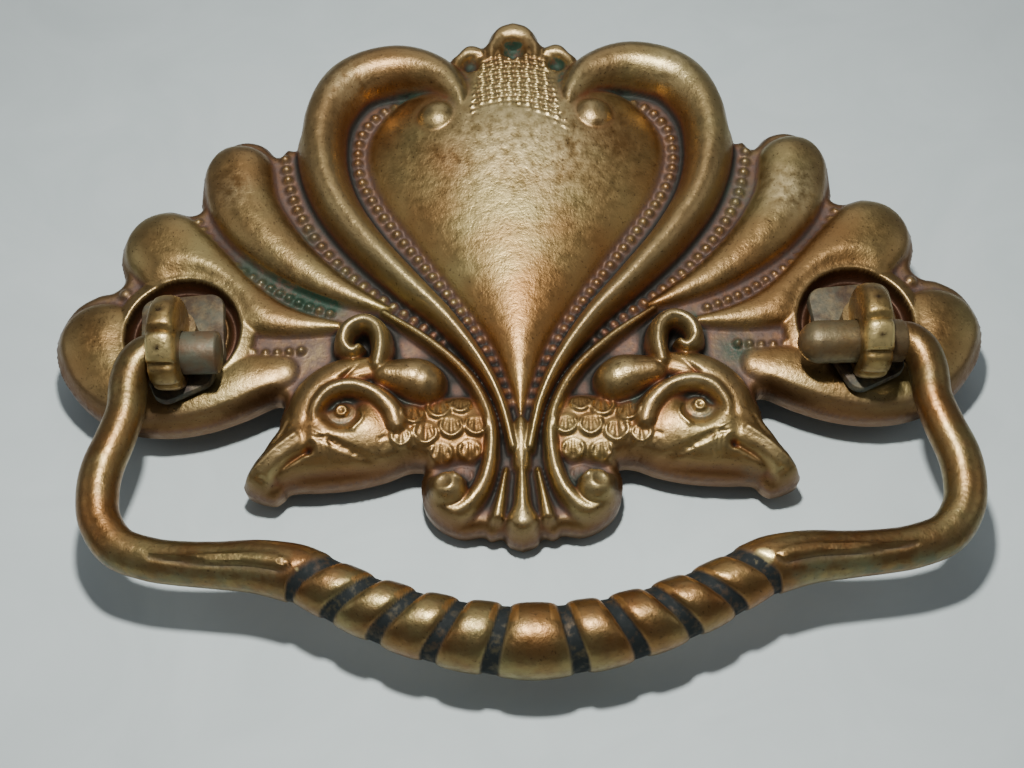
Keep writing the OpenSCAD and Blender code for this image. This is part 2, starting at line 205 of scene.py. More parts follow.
class Relief:
    """Height of the plate's face above its back plane, on the right half."""

    def __init__(self):
        nx = int(round(HALF_W / CELL)) + 1
        nz = int(round((HIGH_Z - LOW_Z) / CELL)) + 1
        self.x, self.z = np.meshgrid(np.arange(nx) * CELL,
                                     LOW_Z + np.arange(nz) * CELL,
                                     indexing="ij")
        self.h = np.full(self.x.shape, BASE_H)

    def band(self, stations, edge=3.0, power=0.6):
        """Raise a rounded band: stations are (x, z, half width, crown)."""
        ratio, crown = band_ratio(self.x, self.z, stations, BAND_STEPS)
        inside = ratio < 1
        rise = (1 - np.where(inside, ratio, 1) ** 2) ** power
        top = edge + (crown - edge) * rise
        self.h = np.where(inside, np.maximum(self.h, top), self.h)

    def groove(self, stations, depth):
        """Cut a soft channel: stations are (x, z, half width)."""
        rows = [(*s, 0) for s in stations]
        ratio, _ = band_ratio(self.x, self.z, rows, LINE_STEPS)
        self.h -= depth * np.exp(-(1.6 * ratio) ** 2) * (ratio < 8)

    def ridge(self, stations, height):
        """Raise a soft line: stations are (x, z, half width)."""
        self.groove(stations, -height)

    def ball(self, cx, cz, r, base, height):
        """Part of a ball standing on the face."""
        d = np.hypot(self.x - cx, self.z - cz) / r
        top = base + height * np.sqrt(np.clip(1 - d * d, 0, 1))
        self.h = np.where(d < 1, np.maximum(self.h, top), self.h)

    def hollow(self, cx, cz, r, depth):
        """Soft round dent."""
        d2 = ((self.x - cx) ** 2 + (self.z - cz) ** 2) / (r * r)
        self.h -= depth * np.exp(-d2 * d2)

    def dome(self, rows, edge=3.4, power=0.75):
        """Field across the middle line: rows are (z, half width, crown)."""
        z, half, crown = smooth(rows, BAND_STEPS).T
        ratio = np.clip(self.x / np.interp(self.z, z, half), 0, 1)
        top = edge + (np.interp(self.z, z, crown) - edge) * (1 - ratio ** 2) ** power
        inside = (ratio < 1) & (self.z > z[0]) & (self.z < z[-1])
        self.h = np.where(inside, np.maximum(self.h, top), self.h)


def along(points, pitch):
    """Evenly spaced places along a smooth path."""
    p = smooth(points, 12)
    run = np.concatenate([[0], np.cumsum(np.hypot(*np.diff(p, axis=0).T))])
    n = int(run[-1] / pitch)
    at = (np.arange(n) + 0.5) * run[-1] / n
    return np.stack([np.interp(at, run, p[:, 0]), np.interp(at, run, p[:, 1])], 1)


HEART_BEADS = [
    (12.6, 31), (14.8, 31.2), (17, 29.8), (18.7, 27.2), (19.1, 24),
    (18.7, 21), (17.4, 18), (14.2, 13), (10.6, 8), (7.1, 3), (4.1, -2),
    (2.1, -7), (1, -10)]
UPPER_BEADS = [(28, 24.6), (27.4, 21), (26.2, 17), (23.8, 12.6), (20.6, 8.6),
               (17, 5.2), (13.6, 2.6), (10.6, 0.2), (8, -2.2)]
MIDDLE_BEADS = [(38, 15.6), (35.8, 12.2), (32.6, 8.8), (28.8, 6), (24.6, 3.6),
                (21, 2.2)]
OUTER_BEADS = [(46.2, 6.4), (44.4, 4.4)]
INNER_BEADS = [(32, -2.3), (28, -2.5), (24, -2.2)]
# rows of beads: (path, pitch, radius of a bead)
BEAD_ROWS = [(HEART_BEADS, 1.4, 0.68), (UPPER_BEADS, 1.45, 0.68),
             (MIDDLE_BEADS, 1.3, 0.6), (OUTER_BEADS, 1.5, 0.8),
             (INNER_BEADS, 1.2, 0.56)]


def plate_bands(r):
    """Heart, fan lobes, stem, scrolls and ribs, with the scrolls' bosses."""
    r.dome(HEART)
    r.band(UPPER_LOBE, power=0.5)
    r.band(MIDDLE_LOBE, power=0.5)
    r.band(LOWER_LOBE, power=0.5)
    r.band([(0, -11.6, 0.6, 4.6), (0, -13, 1.1, 4.8), (0, -17, 1, 4.6)], edge=3.6)
    r.band(SCROLL, edge=3.1, power=0.6)
    r.band(SIDE_RIB, edge=3.2)
    r.ball(9.2, 27.5, 2.7, 5.2, 2.6)
    r.ball(7.9, -19.8, 2.1, 3.8, 2.6)
    r.hollow(8.3, -19.4, 0.7, 0.5)


def plate_beads(r):
    """Rows of small beads on the ground between the bands."""
    for path, pitch, radius in BEAD_ROWS:
        for cx, cz in along(path, pitch):
            r.ball(cx, cz, radius, BASE_H - 0.05, 0.8)


def plate_crest(r):
    """Three arches with sunk middles at the top."""
    r.band([(7.3, 36.2, 1, 5), (6.8, 37.8, 1.3, 5.1), (5.5, 38.8, 1.5, 5.2),
            (4.1, 38.6, 1.2, 5)], edge=3.1)
    r.hollow(5.2, 36.6, 1, 1.1)
    r.band([(2.8, 37.6, 1, 5), (2.6, 39.7, 1.4, 5.2), (1.6, 41.4, 1.8, 5.3),
            (0, 42, 2, 5.4)], edge=3.1)
    r.hollow(0, 38.8, 1.3, 1.2)


# weave on the neck: distance between rows, and between pegs in a row
ROW_PITCH = 0.94
PEG_PITCH = 1.09


def weave(x, z):
    """Rows of small pegs on the neck, fading out over the heart's top."""
    bend = 0.05 * x * x / PEG_PITCH
    row = (z + bend) / ROW_PITCH
    v = row % 1 - 0.5
    u = (x / PEG_PITCH + 0.12 * np.sin(2.1 * np.floor(row))) % 1 - 0.5
    peg = np.clip(1.2 - np.abs(u / 0.43) ** 4 - np.abs(v / 0.3) ** 2, 0, 1)
    width = np.interp(z, [24, 28, 33, 38], [6.8, 5.4, 4.8, 4.2])
    low = np.interp(x, [-7, -4, 0, 4, 7], [24.2, 27.6, 27.8, 25.6, 23.6])
    high = np.interp(np.abs(x), [0, 2, 3.6, 5], [38.8, 38.4, 37.4, 36.6])
    fade = (np.clip((z - low) / 2.2, 0, 1) * np.clip((high - z) / 0.4, 0, 1)
            * np.clip((width - np.abs(x)) / 0.4, 0, 1))
    return fade * (0.6 * peg - 0.3)


def plate_bird(r):
    """Head of a bird that looks outward and down, with a scaled neck."""
    # neck, head, beak, forehead and the feather behind the head
    r.band([(6, -12.4, 4, 4.7), (10.5, -12.6, 4.2, 5)], edge=3.2, power=0.5)
    r.band([(13, -12.6, 4, 5.6), (17, -12.2, 4.9, 6.4), (21, -12.2, 5.2, 6.6),
            (24, -13.8, 3.8, 6.2), (26.2, -15.8, 2.4, 5.8)], power=0.5)
    r.band([(24.4, -14.2, 2.2, 6.4), (26.9, -16.2, 1.9, 6),
            (28.6, -17.9, 1.5, 5.2), (28.2, -18.6, 1, 4.6)], power=0.5)
    r.band([(16.6, -5.8, 2.2, 6.4), (20, -6.8, 2.8, 6.8), (22.6, -9, 2.8, 6.8),
            (23.8, -12, 2.2, 6.4)], power=0.5)
    r.band([(14.6, -6.6, 2.4, 7), (11.8, -6.9, 3, 7.2), (10.9, -7.2, 2.9, 7)],
           power=0.5)
    # lines over the forehead, socket, brow round the eye, and the curl on top
    for k in range(4):
        r.groove([(22.6 - 0.5 * k, -10.6 - 0.1 * k, 0.14), (19.6 - 0.3 * k, -7.4 + 0.35 * k, 0.2),
                  (15.6, -6 + 0.45 * k, 0.2), (12.6, -6.2 + 0.35 * k, 0.14)], 0.22)
    r.hollow(19.4, -11, 2.2, 1.1)
    r.band([(13.6, -12.4, 1.3, 6.7), (14.2, -10.8, 1.4, 7), (16, -9.1, 1.2, 7.4),
            (18.6, -8.3, 1.1, 7.6), (21, -9, 1.1, 7.5), (22.4, -11, 1, 7),
            (22.3, -12.8, 0.7, 6.4)], edge=5.2, power=0.55)
    r.band([(15.7, -5.6, 1.4, 7), (15.4, -3, 1.4, 7.1), (15.9, -0.9, 1.4, 7.1),
            (17.4, 0, 1.4, 7.1), (19.1, -0.8, 1.4, 7), (19.6, -2.5, 1.3, 6.8),
            (18.7, -3.7, 1.1, 6.6), (17.9, -3.2, 0.9, 6.5)], edge=3.4, power=0.6)
    bird_eye(r)
    bird_face(r)
    bird_feathers(r)


def bird_eye(r):
    """Ringed eyeball with a sunk pupil, and a fold behind it."""
    ring = [(19.5 + 1.2 * math.cos(a), -11 + 1.1 * math.sin(a), 0.26)
            for a in np.radians([60, 110, 160, 210, 260, 310, 350])]
    r.ball(19.5, -11, 0.85, 5.7, 0.7)
    r.ridge(ring, 0.35)
    r.hollow(19.5, -11, 0.4, 0.4)
    r.ridge([(17.6, -10.8, 0.3), (17.2, -12, 0.4), (18.2, -13.4, 0.3)], 0.4)


def bird_face(r):
    """Lines of the beak, a nostril, and folds round the mouth's corner."""
    r.groove([(22.9, -15.4, 0.35), (25, -16.6, 0.45), (26.8, -18, 0.35)], 0.7)
    r.groove([(25.4, -12.4, 0.4), (26.2, -14, 0.5), (28.2, -16, 0.4)], 0.3)
    r.ridge([(24.4, -13.8, 0.5), (26.6, -15.4, 0.5), (28.6, -17.4, 0.4)], 0.3)
    r.hollow(22.9, -15.4, 0.5, 0.45)
    for k in range(3):
        w = 1.1 + 0.55 * k
        r.ridge([(22.9 - 0.1 * w, -15.4 + w, 0.2), (22.9 - 0.8 * w, -15.2 + 0.4 * w, 0.24),
                 (22.9 - w, -15.6 - 0.4 * w, 0.2)], 0.26)


# overlapping neck scales, uppermost first: (x, z, radius)
SCALES = [(9, -10.3, 1.45), (6.6, -9.8, 1.2), (11.7, -11.3, 1.3), (4.9, -12.4, 1.35),
          (7.6, -12.6, 1.4), (10.4, -13.4, 1.45), (13, -14, 1.2), (5.6, -15.3, 1.35),
          (8.7, -15.6, 1.35), (6.4, -17.9, 1.2)]
# short feather ticks on the cheek, spread by golden-ratio steps
TICKS = 34


def bird_feathers(r):
    """Overlapping hatched scales on the neck, ticks on the cheek."""
    ground = r.h.copy()
    for cx, cz, size in reversed(SCALES):
        dx, dz = (r.x - cx) / size, (r.z - cz) / size
        d = np.hypot(dx, dz)
        fan = np.arctan2(dx, 1.6 - dz)
        lift = 0.3 * np.clip((1 - d) / 0.18, 0, 1) * (0.7 - 0.3 * dz)
        rim = 0.24 * np.exp(-((d - 0.84) / 0.12) ** 2) * (dz < 0.5)
        hatch = -0.3 * np.clip(np.cos(17 * fan) - 0.2, 0, 1) * (d < 0.72) * (dz > -0.6)
        r.h = np.where(d < 1, ground + lift + rim + hatch, r.h)
    for k in range(TICKS):
        cx = 14.4 + 7 * ((k * 0.618) % 1)
        cz = -14 - 2.8 * ((k * 0.381) % 1)
        r.groove([(cx, cz, 0.14), (cx + 0.9, cz - 0.28, 0.14)], 0.22)


def plate_foot(r):
    """Middle rib that ends in a finial, with a thinner rib beside it."""
    r.band([(0, -15, 0.5, 4.6), (0, -19, 0.8, 4.9), (0, -21.6, 1.1, 4.9),
            (0, -23.4, 1.9, 5)], edge=3.2)
    r.band([(1.7, -17.4, 0.4, 4.6), (2.2, -20.2, 0.6, 4.7), (2.7, -22.8, 0.9, 4.5)],
           edge=3.2)


def plate_dish(r):
    """Sunk round seat with a raised inner ring for the post's flange."""
    d = np.hypot(r.x - POST_X, r.z)
    lip = LIP_H - 0.5 * np.abs(d - DISH_R - 0.6)
    ceiling = CEILING_H + 0.5 * np.maximum(d - DISH_R - 1, 0) ** 1.4
    wall = np.clip((DISH_R + 0.35 - d) / 0.6, 0, 1)
    floor = DISH_H - 0.35 + 0.8 * np.exp(-((d - DISH_RING_R) / 0.5) ** 2)
    floor = np.where(d < DISH_FLAT_R, DISH_H, floor)
    r.h = np.where(d < DISH_R + 2, np.maximum(r.h, lip), r.h)
    both = np.exp(-CEILING_BLEND * r.h) + np.exp(-CEILING_BLEND * ceiling)
    soft = -np.log(both) / CEILING_BLEND
    r.h = np.where(d < DISH_R + 5, np.minimum(soft, r.h), r.h)
    r.h = r.h * (1 - wall) + floor * wall


def outline_distance(x, z):
    """Signed distance to the plate's outline, positive inside."""
    half = smooth(HALF_OUTLINE, LINE_STEPS)
    reach = OUTLINE_REACH
    left = half[-2:0:-1] * [-1, 1]
    loop = np.concatenate([half, left])
    nxt = np.roll(loop, -1, axis=0)
    best = np.full(x.shape, 99.0)
    inside = np.zeros(x.shape, bool)
    for (ax, az), (bx, bz) in zip(loop, nxt):
        cross = (az > z) != (bz > z)
        if cross.any():
            at = ax + (z - az) * (bx - ax) / ((bz - az) or 1e-9)
            inside ^= cross & (x < at)
        near = ((x > min(ax, bx) - reach) & (x < max(ax, bx) + reach)
                & (z > min(az, bz) - reach) & (z < max(az, bz) + reach))
        px, pz = x[near], z[near]
        vx, vz = bx - ax, bz - az
        t = np.clip(((px - ax) * vx + (pz - az) * vz)
                    / max(vx * vx + vz * vz, 1e-9), 0, 1)
        d = np.hypot(px - ax - t * vx, pz - az - t * vz)
        best[near] = np.minimum(best[near], d)
    return np.where(inside, best, -best)


def roll_edge(h, d):
    """Bring the face down to the rim over the last stretch."""
    t = np.clip(1 - np.maximum(d, 0) / RIM_ROLL, 0, 1)
    return RIM_LOW + (h - RIM_LOW) * np.sqrt(np.clip(1 - t * t, 0, 1))


def mirrored(field, sign=1):
    """Both halves of a grid from its right half; sign is -1 for x itself."""
    return np.concatenate([sign * field[:0:-1], field])


def plate_fields():
    """Grids of x, z, face height and distance inside the outline."""
    r = Relief()
    plate_bands(r)
    plate_crest(r)
    plate_bird(r)
    plate_foot(r)
    plate_beads(r)
    plate_dish(r)
    d = mirrored(outline_distance(r.x, r.z))
    x, z = mirrored(r.x, -1), mirrored(r.z)
    h = mirrored(r.h)
    h = roll_edge(blur(h + weave(x, z), SOFTEN), d)
    return x, z, h, d


# ---------------------------------------------------------------- meshes


def clipped_grid(x, z, inside):
    """Quads of a grid cut along inside = 0, with edge points moved onto it."""
    cell = x[1, 0] - x[0, 0]
    gx, gz = np.gradient(inside, cell)
    steep = np.maximum(gx * gx + gz * gz, 0.2)
    snap = np.abs(inside) < 0.5 * cell
    px = np.where(snap, x - inside * gx / steep, x)
    pz = np.where(snap, z - inside * gz / steep, z)
    good = snap | (inside > 0)
    nx, nz = x.shape
    ids = np.arange(nx * nz).reshape(nx, nz)
    ring = [ids[:-1, :-1], ids[1:, :-1], ids[1:, 1:], ids[:-1, 1:]]
    ok = [good.ravel()[q] for q in ring]
    count = sum(k.astype(int) for k in ok)
    quads = np.stack([q[count == 4] for q in ring], 1)
    tris = []
    for miss in range(4):
        sel = (count == 3) & ~ok[miss]
        keep = [ring[(miss + k) % 4][sel] for k in (1, 2, 3)]
        tris.append(np.stack(keep, 1))
    return px.ravel(), pz.ravel(), quads, np.concatenate(tris)


def compact(points, faces):
    """Drop unused points, and say which ones were kept."""
    used = np.unique(np.concatenate([f.ravel() for f in faces]))
    remap = np.full(len(points), -1)
    remap[used] = np.arange(len(used))
    return points[used], [remap[f] for f in faces], used


def border_edges(faces):
    """Edges that only one face uses, in that face's direction."""
    pairs = np.concatenate([np.stack([f[:, k], f[:, (k + 1) % f.shape[1]]], 1)
                            for f in faces for k in range(f.shape[1])])
    key = np.sort(pairs, 1)
    _, first, count = np.unique(key, axis=0, return_index=True,
                                return_counts=True)
    return pairs[first[count == 1]]


def drop_walls(points, faces, levels):
    """Vertical walls from the border down through the given heights."""
    edges = border_edges(faces)
    rim = np.unique(edges)
    spot = {int(v): i for i, v in enumerate(rim)}
    pts, out = [points], []
    above = rim
    total = len(points)
    for level in levels:
        new = points[rim].copy()
        new[:, 1] = -level
        pts.append(new)
        below = total + np.arange(len(rim))
        a = np.array([spot[int(v)] for v in edges[:, 0]])
        b = np.array([spot[int(v)] for v in edges[:, 1]])
        out.append(np.stack([above[b], above[a], below[a], below[b]], 1))
        above = below
        total += len(rim)
    return np.concatenate(pts), faces + out


class Shape:
    """Points, faces and per-point marks of one piece, from several surfaces."""

    def __init__(self):
        self.points, self.faces, self.marks = [], [], []
        self.total = 0

    def add(self, points, faces, **marks):
        """Join one more surface, with its marks."""
        self.points.append(points)
        self.faces += [f + self.total for f in faces]
        self.marks.append((len(points), marks))
        self.total += len(points)

    def loft(self, rings, closed=False, **marks):
        """Surface through equal rings of points, capped unless closed."""
        n, m, _ = rings.shape
        ids = np.arange(n * m).reshape(n, m)
        a = ids if closed else ids[:-1]
        b = np.roll(ids, -1, axis=0) if closed else ids[1:]
        quads = np.stack([a, np.roll(a, -1, 1), np.roll(b, -1, 1), b], -1)
        faces = [quads.reshape(-1, 4)]
        if not closed:
            faces += [ids[:1, ::-1], ids[-1:]]
        flat = {k: np.ravel(v) for k, v in marks.items()}
        self.add(rings.reshape(-1, 3), faces, **flat)

    def field(self, name):
        """One mark for every point, zero where a surface lacks it."""
        return np.concatenate([np.broadcast_to(m.get(name, 0.0), n)
                               for n, m in self.marks])

    def build(self, name, body, names, sharp=38):
        """Mesh object of all surfaces; sharp is the hard-edge angle."""
        obj = mesh_object(name, np.concatenate(self.points), self.faces, body)
        obj.data.set_sharp_from_angle(angle=math.radians(sharp))
        for key in names:
            store(obj, key, self.field(key))
        return obj


def mesh_object(name, points, faces, body):
    """Smooth-shaded mesh object from points in millimetres, riding on a body."""
    mesh = bpy.data.meshes.new(name)
    rows = [f for group in faces for f in group.tolist()]
    mesh.from_pydata((np.asarray(points) * MM).tolist(), [], rows)
    mesh.shade_smooth()
    obj = bpy.data.objects.new(name, mesh)
    bpy.context.scene.collection.objects.link(obj)
    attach(obj, body)
    return obj


def store(obj, name, values):
    """Keep one number per point for the material."""
    layer = obj.data.attributes.new(name, "FLOAT", "POINT")
    layer.data.foreach_set("value", np.asarray(values, np.float32))


# spots: (x, z, reach, strength); left and right differ as on any old piece
GREEN_SPOTS = [
    (-31.6, 8.4, 1.8, 0.8), (-21.4, 3.4, 1.6, 0.8), (5.2, 36.8, 1.4, 1), (-8, 29.4, 1.6, 0.6),
    (0, 40, 1.6, 1), (-5.4, 38, 1.2, 0.9), (5.4, 38, 1.2, 1), (0, 38.2, 2.4, 0.7),
    (-6.3, 34.4, 1.6, 0.8), (6, 33.6, 2.2, 1), (5.4, 27, 1.6, 0.7),
    (13, 31.6, 2.2, 0.5), (-12.8, 31, 2.6, 0.9), (-24.8, 4.4, 3.4, 1),
    (-28.6, 6.6, 2.2, 0.7), (24.4, -3, 2, 1), (20, 1.2, 1, 0.9),
    (-20.8, 6.4, 2.2, 0.6), (-24.6, 12.8, 1.6, 0.5), (27, 18, 2.2, 0.5),
    (12.4, -10.6, 1.2, 0.8), (-12.6, -10.6, 1.1, 0.5), (19.6, -12, 1.8, 0.8),
    (-19.4, -12, 1.8, 0.7), (5.6, -18.6, 1.2, 0.5), (25, -17.4, 1, 0.5)]
# rubbed spots, partly painted highlight: the wide spot high on the heart paints a lamp's highlight
WEAR_AND_HIGHLIGHT_SPOTS = [(32, 17, 3, 1), (-33, 18, 2, 0.4), (20, 34.6, 3, 0.5), (1, 25, 8, 0.75),
              (-21, 33, 3, 0.4), (0, -23.4, 1.4, 0.5), (19, -8.6, 2, 0.5)]


def spots(x, z, rows):
    """Soft round patches, summed and kept within 0 and 1."""
    total = np.zeros(x.shape)
    for cx, cz, reach, power in rows:
        total += power * np.exp(-((x - cx) ** 2 + (z - cz) ** 2) / reach ** 2)
    return np.clip(total, 0, 1)


def plate_masks(x, z, h, d):
    """Marks of the face: recess, crown, low ground, green, wear with painted highlight, seat, edge."""
    post_d = np.hypot(np.abs(x) - POST_X, z)
    seat = (post_d < DISH_R + 0.3) * 1.0
    hollow = np.clip((blur(h, 5) - h) / 0.7, 0, 1)
    crown = np.clip((h - blur(h, 9)) / 0.9, 0, 1)
    low = np.clip((4.1 - h) / 0.6, 0, 1) * np.clip(d / 1.2 - 0.3, 0, 1)
    return {"recess": hollow, "crown": crown * (1 - seat), "low": low * (1 - seat),
            "green": spots(x, z, GREEN_SPOTS), "worn": spots(x, z, WEAR_AND_HIGHLIGHT_SPOTS),
            "seat": seat, "edge": np.clip(1.15 - d / 1.5, 0, 1)}


# heights of the rings of points down the outer wall
WALL_LEVELS = (1.0, 0.0)
# hollow back: cells per quad, width of the edge it stands on, least depth
BACK_STEP = 3
LIP_W = 1.0
BACK_LEAST = 0.6


def make_plate():
    """Embossed face, outer wall, hollow back and standing edge in one mesh."""
    x, z, h, d = plate_fields()
    px, pz, quads, tris = clipped_grid(x, z, d)
    pts = np.stack([px, -h.ravel(), pz], 1)
    pts, faces, used = compact(pts, [quads, tris])
    n_front = len(pts)
    pts, faces = drop_walls(pts, faces, WALL_LEVELS)
    masks = {k: v.ravel()[used] for k, v in plate_masks(x, z, h, d).items()}
    whole = Shape()
    spread = {k: np.concatenate([v, np.full(len(pts) - n_front, k == "edge")])
              for k, v in masks.items()}
    whole.add(pts, faces, **spread)
    add_plate_back(whole, x, z, h, d)
    return whole.build("backplate_stamping", "mounted",
                       list(masks), sharp=70)


def add_plate_back(whole, x, z, h, d):
    """Hollow back of the stamping and the narrow edge it stands on."""
    deep = blur(lowest(h, 4), 2) - SHEET_T
    pick = (slice(None, None, BACK_STEP), slice(None, None, BACK_STEP))
    px, pz, quads, tris = clipped_grid(x[pick], z[pick], d[pick] - LIP_W)
    pts = np.stack([px, -np.maximum(deep[pick], BACK_LEAST).ravel(), pz], 1)
    pts, faces, _ = compact(pts, [quads[:, ::-1], tris[:, ::-1]])
    pts, faces = drop_walls(pts, faces, (0.0,))
    whole.add(pts, faces, low=1.0, recess=0.3)
    strip = np.minimum(d, LIP_W + 0.1 - d)
    px, pz, quads, tris = clipped_grid(x, z, strip)
    pts = np.stack([px, np.zeros(px.shape), pz], 1)
    pts, faces, _ = compact(pts, [quads[:, ::-1], tris[:, ::-1]])
    whole.add(pts, faces, edge=1.0)


# ---------------------------------------------------------------- bail

# radii of the arm and the pins, and where the pins start and end along X
ARM_R = 2.2
PIN_R = 2.35
PIN_OUT = 41
LEFT_PIN_IN = 33.6
RIGHT_PIN_IN = 31.7
# grip: drop of its middle below the pins, half length, rise and radii
BAIL_DROP = 32.7
GRIP_END, GRIP_RISE = 22.4, 6.8
BEAD_R, END_R = 3.83, 2.95
# where the beads stop and the leaf on each arm begins, and where it ends
LEAF_START, LEAF_END = 24, 38.4
# right arm from the pin to the grip: (x, z, radius over ARM_R)
ARM_PATH = [
    (39.8, 0, 0.9), (41.4, 0, 0.93), (42.6, -1.3, 0.95), (43.1, -3.6, 0.94),
    (43.1, -6.8, 0.92), (43.8, -10, 0.96), (44.8, -13.4, 1), (45, -16.4, 1),
    (44.4, -19.4, 0.98), (42.3, -22.2, 0.99), (39, -23.5, 1.01), (36, -24, 1.03),
    (32, -24.3, 1.1), (28, -24.5, 1.24), (24.4, -25.2, 1.36), (22.4, -25.9, 1.34)]
# right half of the grip: each bead's start and the groove that ends it
GROOVES = np.array([3.5, 8.6, 13.5, 18, 22.3])
BEAD_STARTS = np.array([-3.5, 3.5, 8.6, 13.5, 18])
GROOVE_HALF = 0.62
SIDES = 56


def bail_line():
    """Centre line from the right elbow to the left one: x, z, radius."""
    arm = smooth([(x, z, f * ARM_R) for x, z, f in ARM_PATH], 9)
    x = np.arange(22.25, 0.05, -0.15)
    grip_z = -BAIL_DROP + GRIP_RISE * (x / GRIP_END) ** 1.9
    grip_r = BEAD_R - (BEAD_R - END_R) * (x / GRIP_END) ** 1.2
    half = np.concatenate([arm, np.stack([x, grip_z, grip_r], 1)])
    middle = [[0, -BAIL_DROP, BEAD_R]]
    return np.concatenate([half, middle, half[::-1] * [-1, 1, 1]])


def bead_dip(x, lift):
    """How far the grip's skin lies below its beads, and the groove mask."""
    a = np.abs(x)
    slant = np.interp(a, [0, 3.5, 8.6, 13.5, 18, 22], [0, 0.15, 0.3, 0.42, 0.48, 0.5])
    s = a + slant * lift
    k = np.clip(np.searchsorted(GROOVES, s), 0, len(GROOVES) - 1)
    middle = (BEAD_STARTS[k] + GROOVES[k]) / 2
    half = (GROOVES[k] - BEAD_STARTS[k]) / 2
    q = np.clip(np.abs(s - middle) / (half - GROOVE_HALF), 0, 1)
    past = np.clip((s - GROOVES[-1] - GROOVE_HALF) / 0.5, 0, 1)
    depth = np.interp(s, [0, 14, 18.4, 20.2, 23], [0.7, 0.66, 0.56, 0.42, 0.3])
    dip = depth * (1 - np.sqrt(1 - q ** 3)) * (1 - past)
    return dip, np.clip((q - 0.9) / 0.1, 0, 1) * (1 - past)


def tongue(x, lift, front):
    """Raised leaf on the front of each arm, with a line round it."""
    a = np.abs(x)
    half = np.interp(a, [24, 24.3, 25.2, 27, 31, 38], [0, 0.45, 0.72, 0.75, 0.6, 0.1])
    there = (a > LEAF_START) & (a < LEAF_END) & front
    rise = 0.3 * np.clip((half - np.abs(lift)) / 0.25, 0, 1) * there
    line = np.exp(-((np.abs(lift) - half - 0.28) / 0.2) ** 2) * there * (lift < 0)
    return rise - 0.14 * line, 0.7 * line


def bail_skin():
    """Rings of the swept bail with beads, grooves and leaves."""
    line = bail_line()
    head = np.gradient(line[:, :2], axis=0)
    head /= np.linalg.norm(head, axis=1)[:, None]
    across = np.stack([-head[:, 1], head[:, 0]], 1)
    turn = np.linspace(0, 2 * math.pi, SIDES, endpoint=False)
    r = np.repeat(line[:, 2:3], SIDES, 1)
    lift = across[:, 1:2] * r * np.cos(turn)
    x = np.repeat(line[:, :1], SIDES, 1)
    low_run = line[:, 1:2] < -20
    front = (np.sin(turn) > 0.2) & low_run
    dip, groove = bead_dip(x, lift)
    shown = (np.abs(x) < LEAF_START) * (0.42 + 0.58 * np.clip(np.sin(turn), 0, 1) ** 0.7)
    facing = np.clip(1.4 + 2 * np.sin(turn), 0, 1)
    dip, groove = dip * shown, groove * (np.abs(x) < LEAF_START) * facing
    rise, crease = tongue(x, lift, front)
    r = r - dip + rise
    pts = np.stack([x + across[:, :1] * r * np.cos(turn),
                    -r * np.sin(turn),
                    line[:, 1:2] + across[:, 1:2] * r * np.cos(turn)], -1)
    marks = {"groove": np.maximum(groove, crease),
             # painted highlight: an orange band on the upper shoulder of each bead, next to its groove
             "edge": (dip > 0.08) * (dip < 0.5) * (lift > 1.2) * (groove < 0.3) * 1.0,
             "worn": leaf_spots(x, lift, front),
             "green": np.exp(-((lift + 1.9) / 0.9) ** 2) * front
             * np.clip((np.abs(x) - LEAF_START) / 2, 0, 1)}
    return pts, marks


def leaf_spots(x, lift, front):
    """Bright rubbed spots where each leaf meets the beads."""
    right = np.exp(-((x - 22.9) / 1) ** 2 - ((lift - 0.3) / 0.9) ** 2)
    left = 0.6 * np.exp(-((x + 23.3) / 0.3) ** 2 - ((lift + 0.3) / 0.3) ** 2)
    return (right + left) * front


def spun(profile, sides=40):
    """Rings about the X axis from (x, radius) rows."""
    turn = np.linspace(0, 2 * math.pi, sides, endpoint=False)
    return np.array([[(x, r * math.cos(t), r * math.sin(t)) for t in turn]
                     for x, r in profile])


def make_bail():
    """Swept bail with a flat-cut left pin and a round-nosed right one."""
    whole = Shape()
    place = np.array([BAIL_SHIFT, -EYE_H, -EYE_DROP])
    pts, marks = bail_skin()
    whole.loft(pts + place, **marks)
    cut = -LEFT_PIN_IN
    left = [(cut, 0.4), (cut, PIN_R - 0.25), (cut - 0.12, PIN_R - 0.08),
            (cut - 0.3, PIN_R), (-PIN_OUT + 0.4, PIN_R), (-PIN_OUT, PIN_R - 0.3)]
    whole.loft(spun(left) + place, pin=1.0)
    nose = [(RIGHT_PIN_IN - PIN_R * math.sin(t), PIN_R * math.cos(t) ** 1.15)
            for t in np.linspace(1.5, 0, 12)]
    right = nose + [(PIN_OUT - 0.4, PIN_R), (PIN_OUT, PIN_R - 0.3)]
    whole.loft(spun(right) + place, pin=0.5)
    obj = whole.build("bail_casting", "bail",
                      ["groove", "edge", "worn", "green", "pin"])
    recalc(obj)
    return obj


def recalc(obj):
    """Turn every closed surface's faces outward."""
    work = bmesh.new()
    work.from_mesh(obj.data)
    bmesh.ops.recalc_face_normals(work, faces=work.faces)
    work.to_mesh(obj.data)
    work.free()


# ---------------------------------------------------------------- posts

# eye ring: outer radius, half thickness, height and place of its middle
RING_R = 5.2
RING_HALF = 1.6
RING_N = EYE_H + 0.7
RING_Z = -EYE_DROP + 0.9
BORE_R = PIN_R + 0.07
# angles round the ring, in degrees, of its file marks and its two dark pits
NOTCHES = (-10, -56, -95)
PIT_ANGLES = (328, 16)
# square flange and lug: side, turn in degrees, lowest and highest height
FLANGE = (9.4, 5, DISH_H, DISH_H + 1.3)
LUG = (7, 25, 4.95, 5.95)
# stem from the flange to the ring, and the collar under the flange
STEM_R, STEM_Z = 2.3, -1.4
COLLAR_R = 2.8
# shank and its thread, behind the plate
SHANK_R = 2.4
THREAD_R = 2.15
THREAD_PITCH = 0.8
SHANK_END = 26.6
# thickness of the drawer front that the shank passes
FRONT_T = 19


